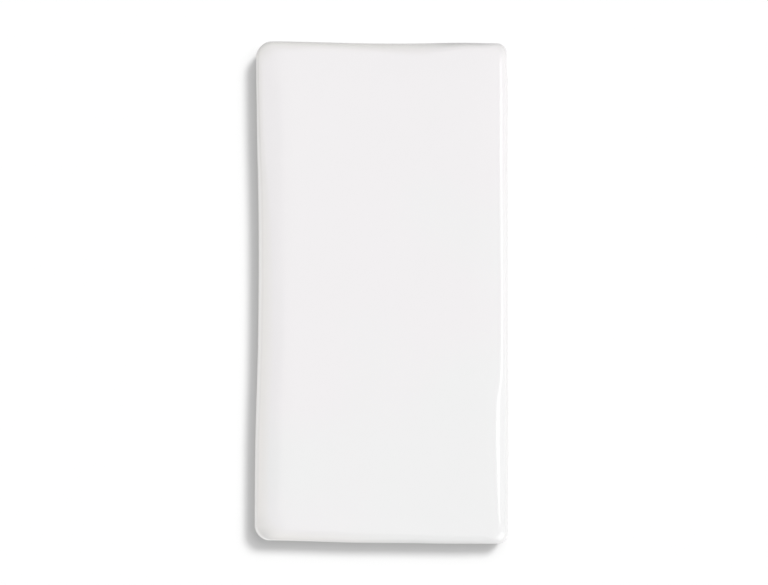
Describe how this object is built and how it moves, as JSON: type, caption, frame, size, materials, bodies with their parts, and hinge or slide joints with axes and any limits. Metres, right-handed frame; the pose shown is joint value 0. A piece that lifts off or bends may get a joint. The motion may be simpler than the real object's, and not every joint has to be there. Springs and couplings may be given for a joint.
{
  "type": "wall tile",
  "caption": "Rectangular glazed ceramic wall tile: flat face that rolls over at softly wandering edges, with a grooved back that beds in adhesive.",
  "frame": {"origin": "middle of the tile's back, on the plane that beds against the wall", "axes": "+X across the tile's width, +Y along its length, +Z out of its glazed face; seen from the front with +Y up, the two most rounded corners are on the left"},
  "size_m": [0.0762, 0.1506, 0.009],
  "materials": {
    "white_glaze": "gloss"
  },
  "bodies": {
    "root": {"tile": "white_glaze"}
  },
  "joints": []
}
